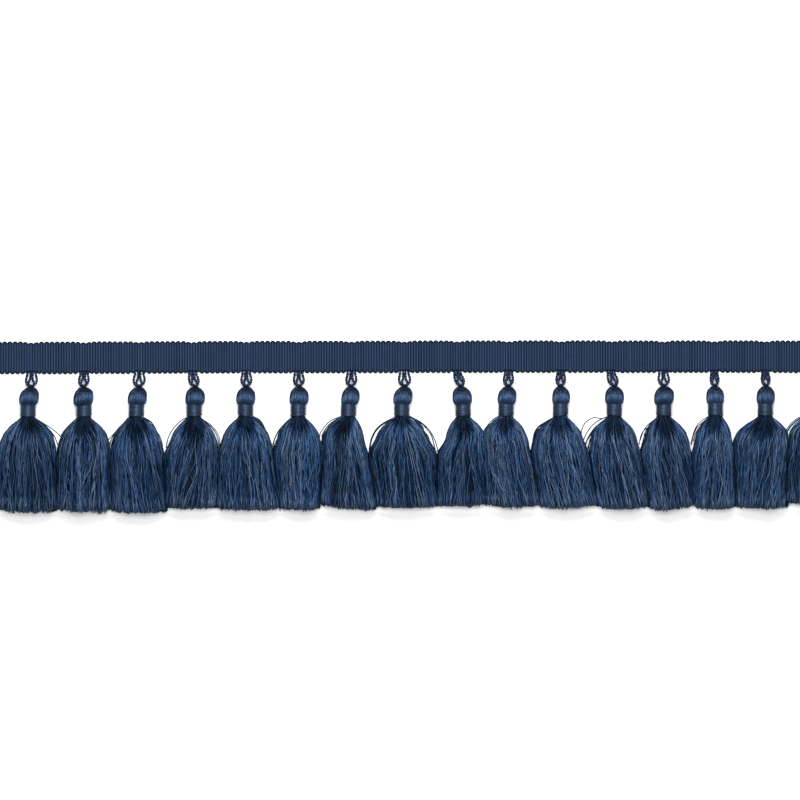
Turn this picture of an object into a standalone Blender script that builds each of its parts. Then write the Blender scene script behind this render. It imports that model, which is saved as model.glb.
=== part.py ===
"""Tassel fringe: sixteen yarn tassels hung by cord loops from a woven heading tape, laid on its back.

Metres. X runs along the tape, the tassels lie towards -Y and +Z is up. The origin is the centre of the
tape's back face, and all that touches the surface under the fringe does so at z = 0.
"""

import math
from collections import namedtuple

import bmesh
import bpy
from mathutils import Vector

MM = 0.001
COLLECTION = "tassel_fringe"
CLEARANCE = 0.3 * MM

# Woven heading tape, a flat band that takes in the small bumps of its two edges.
TAPE_LENGTH = 450 * MM
TAPE_WIDTH = 16.8 * MM
TAPE_THICKNESS = 1.3 * MM

# Tassels: one to a pitch, each a ball, a waist with thread wound round it, and a skirt.
PITCH = 27.4 * MM
HEAD_TOP_Y = -TAPE_WIDTH / 2 - 7.1 * MM
HEAD_LENGTH = 9.6 * MM
WAIST_RADIUS = 2.85 * MM
BINDING_INNER_RADIUS = 3.25 * MM
BINDING_OUTER_RADIUS = 3.75 * MM
BINDING_LENGTH = 6.4 * MM
WAIST_TOP_Y = HEAD_TOP_Y - HEAD_LENGTH
WAIST_FOOT_Y = WAIST_TOP_Y - BINDING_LENGTH
SKIRT_TOP_Y = WAIST_FOOT_Y - CLEARANCE

# The head's turned outline, in millimetres from its cap down: a ball drawn in to the waist.
Turn = namedtuple("Turn", "below radius")
HEAD_OUTLINE = (
    Turn(0.0, 1.2),
    Turn(0.8, 2.9),
    Turn(2.2, 4.2),
    Turn(4.6, 4.9),
    Turn(7.2, 4.9),
    Turn(9.2, 4.0),
)
BALL_RADIUS = max(turn.radius for turn in HEAD_OUTLINE) * MM

# Skirt: a bell of loose yarn that has sunk onto the surface, flat below and arched above.
SIDES = 12
SHOULDER_LENGTH = 12.3 * MM
SHOULDER_HEIGHT = 12.4 * MM
SHOULDER_SIDE = 3.6 * MM
OPENING_POWER = 0.9
SEAM_LENGTH = 18.0 * MM
SKIRT_LENGTH = 47.5 * MM
HEM_HEIGHT = 9.0 * MM
HEM_SIDE = 3.0 * MM
SINKS_WITHIN = 4.5 * MM
HEM_CORNER_RISE = 2.4 * MM
SKIRT_SHARES = (0.002, 0.07, 0.15, 0.258, 0.38, 1.0)

# Each row is one tassel, in millimetres: how far its ball sits from the even pitch, how far its loop
# leans to +X at the tape and how wide it is, how far the waist and the skirt's two shoulders lie from
# the ball's middle, and the skirt's length at its two corners.
Tassel = namedtuple(
    "Tassel",
    "shift lean loop_width waist shoulder_left shoulder_right length_left length_right",
)
TASSELS = (
    Tassel(0.2, 1.6, 6.1, -0.5, 14.7, 13.4, 48.7, 49.4),
    Tassel(0.9, 0.8, 6.2, 0.5, 12.1, 13.6, 48.7, 48.8),
    Tassel(1.7, 1.4, 6.7, -0.5, 13.2, 12.8, 49.2, 50.0),
    Tassel(4.4, -1.3, 6.2, -0.6, 13.2, 10.7, 47.6, 47.2),
    Tassel(3.2, 0.8, 6.3, -0.1, 12.4, 12.8, 48.1, 47.9),
    Tassel(3.6, -0.5, 6.6, -0.5, 12.1, 11.6, 47.7, 48.1),
    Tassel(3.0, 0.0, 6.2, -1.2, 14.4, 7.4, 46.0, 48.8),
    Tassel(2.7, 1.0, 6.6, -0.6, 15.5, 14.0, 47.0, 47.1),
    Tassel(6.0, -2.6, 6.4, 0.6, 9.1, 13.4, 46.7, 46.2),
    Tassel(2.0, 1.0, 5.8, -0.5, 13.9, 11.3, 46.4, 46.8),
    Tassel(2.7, -0.6, 5.6, -0.3, 15.1, 11.7, 47.2, 47.2),
    Tassel(3.0, -1.5, 6.3, -0.1, 13.7, 11.9, 47.5, 47.9),
    Tassel(1.3, 0.0, 6.4, 0.0, 10.8, 13.2, 48.6, 46.9),
    Tassel(0.5, 0.0, 5.6, 0.2, 11.3, 9.2, 47.9, 48.1),
    Tassel(-0.6, 0.0, 5.6, -0.2, 16.3, 14.0, 47.4, 47.8),
    Tassel(-0.4, 0.4, 6.0, 0.2, 18.4, 13.4, 45.6, 46.9),
)

# Each row is a side of a skirt, two skirts sharing all but the first and the last, in millimetres: how
# far it lies from the even pitch where neighbours meet below their shoulders, and at the hem.
Seam = namedtuple("Seam", "high low")
SEAMS = (
    Seam(-2.3, -1.8),
    Seam(1.0, 0.7),
    Seam(1.1, 0.9),
    Seam(1.8, 3.1),
    Seam(2.5, 1.7),
    Seam(3.4, 8.1),
    Seam(2.4, -0.1),
    Seam(-2.0, 2.7),
    Seam(7.0, 6.5),
    Seam(3.8, 5.1),
    Seam(0.6, 5.8),
    Seam(3.6, 8.0),
    Seam(2.7, 7.7),
    Seam(1.8, 4.2),
    Seam(-3.5, -2.6),
    Seam(-2.8, -3.5),
    Seam(1.3, 2.8),
)

# Each row is a point on the loop's first turn, or on the crest that joins the two turns: across in half
# widths from the loop's middle, then in millimetres the way down from its start, the height, and how much
# higher the second turn passes.
CORD_RADIUS = 0.625 * MM
CORD_RESOLUTION = 1
LOOP_TOP_Y = -TAPE_WIDTH / 2 - 0.75 * MM
Bend = namedtuple("Bend", "across down height lift")
LOOP_TURN = (
    Bend(-0.80, 0.0, 0.7, 0.0),
    Bend(-1.00, 2.4, 2.2, 1.6),
    Bend(-0.75, 4.45, 3.6, 1.7),
    Bend(-0.10, 5.45, 4.1, 1.6),
    Bend(0.50, 4.75, 4.1, 1.5),
    Bend(0.45, 3.15, 3.3, 1.1),
    Bend(0.33, 1.35, 2.1, 0.0),
)
LOOP_CREST = (
    Bend(0.19, 0.83, 1.9, 0.0),
    Bend(-0.19, 0.83, 1.9, 0.0),
)

# Colour, roughness and metallic value of each sub-part's yarn.
Finish = namedtuple("Finish", "colour roughness metallic")
TAPE_FINISH = Finish((0.026, 0.044, 0.091, 1.0), 0.75, 0.0)
LOOP_FINISH = Finish((0.020, 0.032, 0.070, 1.0), 0.60, 0.0)
HANK_FINISH = Finish((0.030, 0.060, 0.125, 1.0), 0.42, 0.0)
BINDING_FINISH = Finish((0.038, 0.055, 0.100, 1.0), 0.50, 0.0)


def clear_scene():
    for old in list(bpy.data.objects):
        bpy.data.objects.remove(old, do_unlink=True)


def new_collection(name):
    collection = bpy.data.collections.new(name)
    bpy.context.scene.collection.children.link(collection)
    return collection


def new_material(name, finish):
    material = bpy.data.materials.new(name)
    material.use_nodes = True
    shader = material.node_tree.nodes["Principled BSDF"]
    shader.inputs["Base Color"].default_value = finish.colour
    shader.inputs["Roughness"].default_value = finish.roughness
    shader.inputs["Metallic"].default_value = finish.metallic
    return material


def place(name, data, material, collection, location=(0, 0, 0)):
    data.materials.append(material)
    piece = bpy.data.objects.new(name, data)
    piece.location = location
    collection.objects.link(piece)
    return piece


def mix(start, end, share):
    return start + (end - start) * share


def ball_x(index):
    """Where tassel number index has the middle of its ball, along the tape."""
    return (index - (len(TASSELS) - 1) / 2) * PITCH + TASSELS[index].shift * MM


def seam_x(index, share):
    """Where seam number index lies along the tape, from its high end at 0 to the hem at 1."""
    even = (index - len(TASSELS) / 2) * PITCH
    return even + mix(SEAMS[index].high, SEAMS[index].low, share) * MM


def heading_tape(material, collection):
    cube = bmesh.new()
    bmesh.ops.create_cube(cube, size=1.0)
    bmesh.ops.scale(cube, verts=cube.verts, vec=(TAPE_LENGTH, TAPE_WIDTH, TAPE_THICKNESS))
    mesh = bpy.data.meshes.new("heading_tape")
    cube.to_mesh(mesh)
    cube.free()
    place("heading_tape", mesh, material, collection, (0, 0, TAPE_THICKNESS / 2))


def section(left, right, side, up, down, y_of):
    """A closed ring across the hank: an arch over z = side and a bowl under it, cut flat at z = 0."""
    middle = (left + right) / 2
    half = (right - left) / 2
    reach = math.cos(math.pi / SIDES)
    ring = []
    for k in range(SIDES):
        angle = (k + 0.5) * 2 * math.pi / SIDES
        across = math.cos(angle) / reach
        rise = math.sin(angle) / reach
        z = side + (up if rise > 0 else down) * rise
        ring.append(Vector((middle + half * across, y_of(across), max(z, 0.0))))
    return ring


def round_section(x, y, radius):
    return section(x - radius, x + radius, BALL_RADIUS, radius, radius, lambda across: y)


def head_sections(x, waist_x):
    """The ball from its cap down, then the straight waist inside the binding."""
    rings = [round_section(x, HEAD_TOP_Y - turn.below * MM, turn.radius * MM) for turn in HEAD_OUTLINE]
    rings.append(round_section(waist_x, WAIST_TOP_Y + CLEARANCE, WAIST_RADIUS))
    rings.append(round_section(waist_x, SKIRT_TOP_Y, WAIST_RADIUS))
    return rings


def skirt_edge(waist_edge, shoulder, seam_index, inset, below):
    """One side of the skirt: it opens to the shoulder, drops to the seam and follows that to the hem."""
    along_seam = max((below - SEAM_LENGTH) / (SKIRT_LENGTH - SEAM_LENGTH), 0.0)
    limit = seam_x(seam_index, along_seam) + inset
    if below >= SEAM_LENGTH:
        return limit
    if below < SHOULDER_LENGTH:
        opened = math.sin(math.pi / 2 * (below / SHOULDER_LENGTH) ** OPENING_POWER)
        edge = mix(waist_edge, shoulder, opened)
    else:
        edge = mix(shoulder, limit, (below - SHOULDER_LENGTH) / (SEAM_LENGTH - SHOULDER_LENGTH))
    return max(edge, limit) if inset > 0 else min(edge, limit)


def skirt_section(index, waist_x, share):
    """The skirt at this share of its length, from the waist at 0 to the hem at 1."""
    tassel = TASSELS[index]
    below = share * mix(tassel.length_left, tassel.length_right, 0.5) * MM
    slant = (tassel.length_right - tassel.length_left) / 2 * MM * share
    corner = HEM_CORNER_RISE * share**4
    inset = CLEARANCE / 2
    waist_left = waist_x - BINDING_OUTER_RADIUS
    waist_right = waist_x + BINDING_OUTER_RADIUS
    shoulder_left = ball_x(index) - tassel.shoulder_left * MM
    shoulder_right = ball_x(index) + tassel.shoulder_right * MM
    left = skirt_edge(waist_left, shoulder_left, index, inset, below - slant - corner)
    right = skirt_edge(waist_right, shoulder_right, index + 1, -inset, below + slant - corner)
    opened = math.sin(math.pi / 2 * min(below / SHOULDER_LENGTH, 1.0))
    past = max(below - SHOULDER_LENGTH, 0.0) / (SKIRT_LENGTH - SHOULDER_LENGTH)
    sunk = min(below / SINKS_WITHIN, 1.0)
    side = mix(BALL_RADIUS, mix(SHOULDER_SIDE, HEM_SIDE, past), sunk)
    top = mix(BALL_RADIUS + BINDING_OUTER_RADIUS, mix(SHOULDER_HEIGHT, HEM_HEIGHT, past), opened)
    down = mix(BINDING_OUTER_RADIUS, BALL_RADIUS, sunk)

    def y_of(across):
        return SKIRT_TOP_Y - below - slant * across + corner * abs(across) ** 3

    return section(left, right, side, top - side, down, y_of)


def hank(index, material, collection):
    """One tassel's yarn, from the ball's cap to the hem, as a single lofted body."""
    waist_x = ball_x(index) + TASSELS[index].waist * MM
    rings = head_sections(ball_x(index), waist_x)
    rings += [skirt_section(index, waist_x, share) for share in SKIRT_SHARES]
    loft = bmesh.new()
    rows = [[loft.verts.new(point) for point in ring] for ring in rings]
    for upper, lower in zip(rows, rows[1:]):
        for k in range(SIDES):
            after = (k + 1) % SIDES
            loft.faces.new((upper[k], upper[after], lower[after], lower[k]))
    for ring, row in ((rings[0], rows[0]), (rings[-1], rows[-1])):
        middle = loft.verts.new(sum(ring, Vector()) / SIDES)
        for k in range(SIDES):
            loft.faces.new((row[k], row[(k + 1) % SIDES], middle))
    bmesh.ops.recalc_face_normals(loft, faces=loft.faces)
    name = f"hank_{index + 1:02d}"
    mesh = bpy.data.meshes.new(name)
    loft.to_mesh(mesh)
    loft.free()
    mesh.shade_smooth()
    place(name, mesh, material, collection)


def binding(index, material, collection):
    """The thread wound round the waist: a rectangle turned about the waist's own axis, along Y."""
    corners = (
        (BINDING_INNER_RADIUS, WAIST_TOP_Y),
        (BINDING_OUTER_RADIUS, WAIST_TOP_Y),
        (BINDING_OUTER_RADIUS, WAIST_FOOT_Y),
        (BINDING_INNER_RADIUS, WAIST_FOOT_Y),
    )
    turned = math.pi / SIDES
    points = [(r * math.cos(turned), y, r * math.sin(turned)) for r, y in corners]
    edges = [(k, (k + 1) % len(points)) for k in range(len(points))]
    name = f"binding_{index + 1:02d}"
    mesh = bpy.data.meshes.new(name)
    mesh.from_pydata(points, edges, [])
    waist_x = ball_x(index) + TASSELS[index].waist * MM
    ring = place(name, mesh, material, collection, (waist_x, 0, BALL_RADIUS))
    turn = ring.modifiers.new("turn", "SCREW")
    turn.axis = "Y"
    turn.steps = SIDES
    turn.render_steps = SIDES
    turn.use_merge_vertices = True
    turn.merge_threshold = 0.0001


def loop_route(index):
    """Down one turn, over the crest between the two, and down and up the second, which passes above."""
    tassel = TASSELS[index]
    half = tassel.loop_width / 2 * MM - CORD_RADIUS
    foot = max(bend.down for bend in LOOP_TURN)
    crest_down = LOOP_TURN[-1].down

    def stop(across, down, height, leans_from):
        leaned = tassel.lean * (1 - leans_from / foot) * MM
        x = ball_x(index) + leaned + across * half
        return Vector((x, LOOP_TOP_Y - down * MM, height * MM))

    route = [stop(bend.across, bend.down, bend.height, bend.down) for bend in LOOP_TURN]
    route += [stop(bend.across, bend.down, bend.height, crest_down) for bend in LOOP_CREST]
    for bend in reversed(LOOP_TURN):
        route.append(stop(-bend.across, bend.down, bend.height + bend.lift, bend.down))
    return route


def loop(index, material, collection):
    name = f"loop_{index + 1:02d}"
    cord = bpy.data.curves.new(name, "CURVE")
    cord.dimensions = "3D"
    cord.bevel_depth = CORD_RADIUS
    cord.bevel_resolution = CORD_RESOLUTION
    cord.use_fill_caps = True
    route = loop_route(index)
    spline = cord.splines.new("POLY")
    spline.points.add(len(route) - 1)
    for point, stop in zip(spline.points, route):
        point.co = (*stop, 1.0)
    place(name, cord, material, collection)


def main():
    clear_scene()
    collection = new_collection(COLLECTION)
    heading_tape(new_material("tape_weave", TAPE_FINISH), collection)
    loop_yarn = new_material("loop_cord", LOOP_FINISH)
    hank_yarn = new_material("hank_yarn", HANK_FINISH)
    binding_yarn = new_material("binding_thread", BINDING_FINISH)
    for index in range(len(TASSELS)):
        loop(index, loop_yarn, collection)
        hank(index, hank_yarn, collection)
        binding(index, binding_yarn, collection)


main()
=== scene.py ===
"""Looks of a tassel fringe that lies on its back, seen from straight above.

Every length is in metres unless its name, its comment or its class says millimetres. X runs along the
heading tape, the tassels lie towards -Y and +Z is up. The pieces' places are read from the fixed solids.
"""
import logging
import math
from dataclasses import dataclass
from enum import Enum
from typing import Any, Sequence

import bpy
import numpy as np
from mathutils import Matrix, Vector


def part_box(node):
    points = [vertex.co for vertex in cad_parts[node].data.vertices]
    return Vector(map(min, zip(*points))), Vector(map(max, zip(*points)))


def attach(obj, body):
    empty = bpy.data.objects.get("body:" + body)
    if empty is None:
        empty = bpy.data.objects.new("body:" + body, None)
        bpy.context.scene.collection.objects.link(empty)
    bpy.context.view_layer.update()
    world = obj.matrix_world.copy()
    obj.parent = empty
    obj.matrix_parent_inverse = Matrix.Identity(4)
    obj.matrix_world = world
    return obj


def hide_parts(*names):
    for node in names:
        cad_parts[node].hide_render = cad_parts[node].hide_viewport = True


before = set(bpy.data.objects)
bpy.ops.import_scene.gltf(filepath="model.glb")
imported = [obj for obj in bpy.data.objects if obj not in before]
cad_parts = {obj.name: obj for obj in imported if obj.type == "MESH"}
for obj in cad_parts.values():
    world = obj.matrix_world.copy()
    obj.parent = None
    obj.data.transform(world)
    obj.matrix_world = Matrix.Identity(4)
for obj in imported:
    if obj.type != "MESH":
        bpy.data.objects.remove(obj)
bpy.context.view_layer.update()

log = logging.getLogger("tassel_fringe")

MM = 0.001
BODY = "root"
TASSELS = 16
TAPE_NODE = "heading_tape"

Array = np.ndarray
Numbers = float | Array
Colour = tuple[float, float, float]
Draw = np.random.Generator
Material = bpy.types.Material
Piece = bpy.types.Object
Socket = bpy.types.NodeSocket


class Slot(Enum):
    """Names of the material slots."""

    TAPE = "tape_weave"
    LOOP = "loop_cord"
    HANK = "hank_yarn"
    BINDING = "binding_thread"


# ---------------------------------------------------------------------------------------------- shading


class Value:
    """A shader socket that carries a number and takes part in Python sums."""

    def __init__(self, shader: "Shader", socket: Socket) -> None:
        """Wraps an output socket of a shader."""
        self.shader = shader
        self.socket = socket

    def _with(self, operation: str, first: Any, second: Any) -> "Value":
        """The result of a Math node on two values or numbers."""
        node = self.shader.node("ShaderNodeMath", {"operation": operation}, {0: first, 1: second})
        return Value(self.shader, node.outputs[0])

    def __add__(self, other: Any) -> "Value":
        """The sum."""
        return self._with("ADD", self, other)

    def __radd__(self, other: Any) -> "Value":
        """The sum, with the number first."""
        return self._with("ADD", other, self)

    def __mul__(self, other: Any) -> "Value":
        """The product."""
        return self._with("MULTIPLY", self, other)

    def __rmul__(self, other: Any) -> "Value":
        """The product, with the number first."""
        return self._with("MULTIPLY", other, self)


class Shader:
    """The node tree of one material."""

    def __init__(self, name: str) -> None:
        """Makes a material with one Principled shader.

        Args:
            name: The material's name.
        """
        self.material = bpy.data.materials.new(name)
        self.material.use_nodes = True
        self.tree = self.material.node_tree
        self.principled = self.tree.nodes["Principled BSDF"]

    def feed(self, socket: Socket, source: Any) -> None:
        """Links or sets one input.

        Args:
            socket: The input socket.
            source: A value, an output socket, a number or a tuple.
        """
        if isinstance(source, Value):
            source = source.socket
        if isinstance(source, Socket):
            self.tree.links.new(source, socket)
        else:
            socket.default_value = source

    def node(self, kind: str, settings: dict[str, Any], inputs: dict[Any, Any]) -> bpy.types.Node:
        """Adds a node.

        Args:
            kind: The node's type.
            settings: Its properties, by name.
            inputs: What its sockets get, by name or number.

        Returns:
            The node.
        """
        made = self.tree.nodes.new(kind)
        for name, setting in settings.items():
            setattr(made, name, setting)
        for name, source in inputs.items():
            self.feed(made.inputs[name], source)
        return made

    def attribute(self, name: str) -> Value:
        """The number that the mesh holds at its points under this name."""
        made = self.node("ShaderNodeAttribute", {"attribute_name": name}, {})
        return Value(self, made.outputs["Fac"])

    def places(self, stretch: Sequence[float] = (1.0, 1.0, 1.0)) -> Socket:
        """The point's place on the object.

        Args:
            stretch: What it is multiplied by along X, Y and Z.

        Returns:
            The vector socket.
        """
        at = self.node("ShaderNodeTexCoord", {}, {}).outputs["Object"]
        scaled = self.node("ShaderNodeVectorMath", {"operation": "MULTIPLY"}, {0: at, 1: tuple(stretch)})
        return scaled.outputs[0]

    def noise(self, stretch: Sequence[float], detail: float) -> Value:
        """Smooth noise from 0 to 1.

        Args:
            stretch: How many cells a metre has along X, Y and Z.
            detail: How many finer octaves it holds.

        Returns:
            The noise.
        """
        inputs = {"Vector": self.places(stretch), "Scale": 1.0, "Detail": detail}
        made = self.node("ShaderNodeTexNoise", {}, inputs)
        return Value(self, made.outputs["Fac"])

    def mixed(self, share: Any, first: Colour, second: Colour) -> Socket:
        """The colour that lies a share of the way from the first to the second."""
        inputs = {0: share, 6: (*first, 1.0), 7: (*second, 1.0)}
        return self.node("ShaderNodeMix", {"data_type": "RGBA"}, inputs).outputs[2]

    def scaled(self, colour: Socket, factor: Any) -> Socket:
        """The colour made lighter or darker by a factor."""
        made = self.node("ShaderNodeVectorMath", {"operation": "SCALE"}, {0: colour, "Scale": factor})
        return made.outputs[0]

    def bump(self, height: Value, depth: float, strength: float) -> None:
        """Gives the surface a relief: its height from 0 to 1, its depth in metres and how much is used."""
        made = self.node("ShaderNodeBump", {}, {"Height": height, "Distance": depth, "Strength": strength})
        self.feed(self.principled.inputs["Normal"], made.outputs["Normal"])

    def dress(self, inputs: dict[str, Any]) -> Material:
        """Sets the Principled shader.

        Args:
            inputs: What its sockets get, by name.

        Returns:
            The material.
        """
        for name, source in inputs.items():
            self.feed(self.principled.inputs[name], source)
        return self.material


PALE_BLUE = (0.62, 0.80, 1.0)
DEEP_BLUE = (0.45, 0.65, 1.0)


@dataclass(frozen=True)
class YarnFinish:
    """A dyed, shiny thread: each thread has a tone and a tint of its own, which its mesh holds.

    Its lustre is how metallic it is, and its glint the colour of its shine. Its fibres lie so deep, and
    show by a relief. Its colour and its roughness vary from patch to patch by so much.
    """

    name: str
    cool: Colour
    warm: Colour
    roughness: float
    lustre: float
    shine: float
    glint: Colour = PALE_BLUE
    fibre: float = 0.03 * MM
    relief: float = 0.6
    patchiness: float = 0.56
    unevenness: float = 0.16
    patch_cells: Sequence[float] = (900.0, 420.0, 900.0)
    fibre_cells: Sequence[float] = (9000.0, 1800.0, 9000.0)

    def fibres(self, shader: Shader) -> Value:
        """The fine relief, from 0 to 1."""
        return shader.noise(self.fibre_cells, 1.0)

    def varied(self, patches: Value, fibres: Value) -> Value:
        """What the tone is multiplied by at each point."""
        return 1 - self.patchiness / 2 + patches * self.patchiness

    def material(self) -> Material:
        """The finish as a material.

        Returns:
            The material.
        """
        shader = Shader(self.name)
        patches = shader.noise(self.patch_cells, 2.0)
        fibres = self.fibres(shader)
        dyed = shader.mixed(shader.attribute("tint"), self.cool, self.warm)
        tone = shader.attribute("tone") * self.varied(patches, fibres)
        shader.bump(fibres, self.fibre, self.relief)
        return shader.dress(
            {
                "Base Color": shader.scaled(dyed, tone),
                "Roughness": self.roughness - self.unevenness / 2 + patches * self.unevenness,
                "Metallic": self.lustre,
                "Specular IOR Level": self.shine,
                "Specular Tint": (*self.glint, 1.0),
            }
        )


@dataclass(frozen=True)
class WeaveFinish(YarnFinish):
    """A ribbed woven band: fine warp threads cross the ribs, and its colour varies with them by its weave."""

    warp_pitch: float = 0.36 * MM
    weave: float = 0.2

    def fibres(self, shader: Shader) -> Value:
        """The warp threads, from 0 to 1.

        Args:
            shader: The material's shader.

        Returns:
            The relief.
        """
        bands = {
            "Vector": shader.places(),
            # At a scale of 1 the texture's bands are a tenth of pi apart.
            "Scale": 0.1 * math.pi / self.warp_pitch,
            "Distortion": 1.2,
            "Detail": 1.0,
            "Detail Scale": 2.0,
        }
        warp = shader.node("ShaderNodeTexWave", {"wave_type": "BANDS", "bands_direction": "Y"}, bands)
        return Value(shader, warp.outputs["Fac"])

    def varied(self, patches: Value, fibres: Value) -> Value:
        """What the tone is multiplied by at each point."""
        spread = self.weave + self.patchiness
        return 1 - spread / 2 + fibres * self.weave + patches * self.patchiness


TAPE_FINISH = WeaveFinish(
    "ribbed_tape",
    (0.0135, 0.028, 0.061),
    (0.018, 0.029, 0.056),
    roughness=0.66,
    lustre=0.15,
    shine=0.08,
    glint=DEEP_BLUE,
    fibre=0.09 * MM,
    relief=0.7,
    patchiness=0.32,
    unevenness=0.12,
    patch_cells=(260.0, 700.0, 260.0),
)
LOOP_FINISH = YarnFinish(
    "twisted_cord", (0.007, 0.016, 0.042), (0.011, 0.018, 0.039), roughness=0.45, lustre=0.3, shine=0.12
)
HANK_FINISH = YarnFinish(
    "silky_thread",
    (0.0120, 0.0376, 0.0985),
    (0.0350, 0.0510, 0.0785),
    roughness=0.38,
    lustre=0.35,
    shine=0.08,
    glint=DEEP_BLUE,
)
BALL_FINISH = YarnFinish(
    "drawn_thread",
    (0.022, 0.050, 0.108),
    (0.030, 0.052, 0.108),
    roughness=0.38,
    lustre=0.6,
    shine=0.4,
    fibre=0.01 * MM,
)
BINDING_FINISH = YarnFinish(
    "wound_thread", (0.0195, 0.0355, 0.070), (0.0250, 0.0385, 0.069), roughness=0.36, lustre=0.4, shine=0.4
)


# --------------------------------------------------------------------------------------------- geometry


def bell(distance: Array, reach: Numbers) -> Array:
    """A smooth hump: 1 where the distance is 0, and about a third of that one reach away."""
    return np.exp(-((distance / reach) ** 2))


def ramp(place: Array, start: float, reach: float) -> Array:
    """0 up to the start, then an even rise to 1 over the reach."""
    return np.clip((place - start) / reach, 0, 1)


def ripples(draw: Draw, count: int, waves: tuple[float, float], share: Array) -> Array:
    """Sine waves along threads, each thread with a number of waves and a phase of its own.

    Args:
        draw: The random numbers.
        count: How many threads there are.
        waves: The fewest and the most waves on a thread.
        share: How far along its thread each stop is, from 0 to 1.

    Returns:
        From -1 to 1, as thread, stop.
    """
    number = draw.uniform(*waves, (count, 1))
    return np.sin(2 * math.pi * number * share + draw.uniform(0, 6.3, (count, 1)))


def smooth_route(stops: Array, count: int) -> Array:
    """Points spread evenly along a smooth curve through the stops.

    Args:
        stops: The points that the curve passes through, one a row.
        count: How many points to return.

    Returns:
        The points, one a row.
    """
    steps_between = 24
    before = 2 * stops[:1] - stops[1:2]
    after = 2 * stops[-1:] - stops[-2:-1]
    held = np.concatenate([before, stops, after])
    share = np.linspace(0, 1, steps_between, endpoint=False)[:, None]
    dense = []
    for a, b, c, d in zip(held, held[1:], held[2:], held[3:]):
        square = (2 * a - 5 * b + 4 * c - d) * share**2
        cube = (3 * b - a - 3 * c + d) * share**3
        dense.append(0.5 * (2 * b + (c - a) * share + square + cube))
    line = np.concatenate([*dense, stops[-1:]])
    run = np.concatenate([[0.0], np.cumsum(np.linalg.norm(np.diff(line, axis=0), axis=1))])
    wanted = np.linspace(0, run[-1], count)
    return np.stack([np.interp(wanted, run, column) for column in line.T], axis=1)


def unit(vectors: Array) -> Array:
    """The vectors at length 1."""
    return vectors / np.maximum(np.linalg.norm(vectors, axis=-1, keepdims=True), 1e-12)


def cross_frames(lines: Array) -> tuple[Array, Array]:
    """Two directions across each line at each of its points, turned as little as possible along it.

    Args:
        lines: Points, as line, point, coordinate.

    Returns:
        The two directions, each as line, point, coordinate.
    """
    along = unit(np.gradient(lines, axis=1))
    first = np.empty_like(along)
    least = np.abs(along[:, 0]).argmin(axis=1)
    current = unit(np.cross(along[:, 0], np.eye(3)[least]))
    for k in range(lines.shape[1]):
        inward = (current * along[:, k]).sum(axis=1, keepdims=True)
        current = unit(current - inward * along[:, k])
        first[:, k] = current
    return first, np.cross(along, first)


def per_point(given: Numbers, lines: int, stops: int) -> Array:
    """One number for each point of some lines.

    Args:
        given: One number, or one for each line, or one for each point.
        lines: How many lines there are.
        stops: How many points each has.

    Returns:
        The numbers, as line, point.
    """
    held = np.asarray(given, float)
    return np.broadcast_to(held.reshape(held.shape + (1,) * (2 - held.ndim)), (lines, stops))


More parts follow.
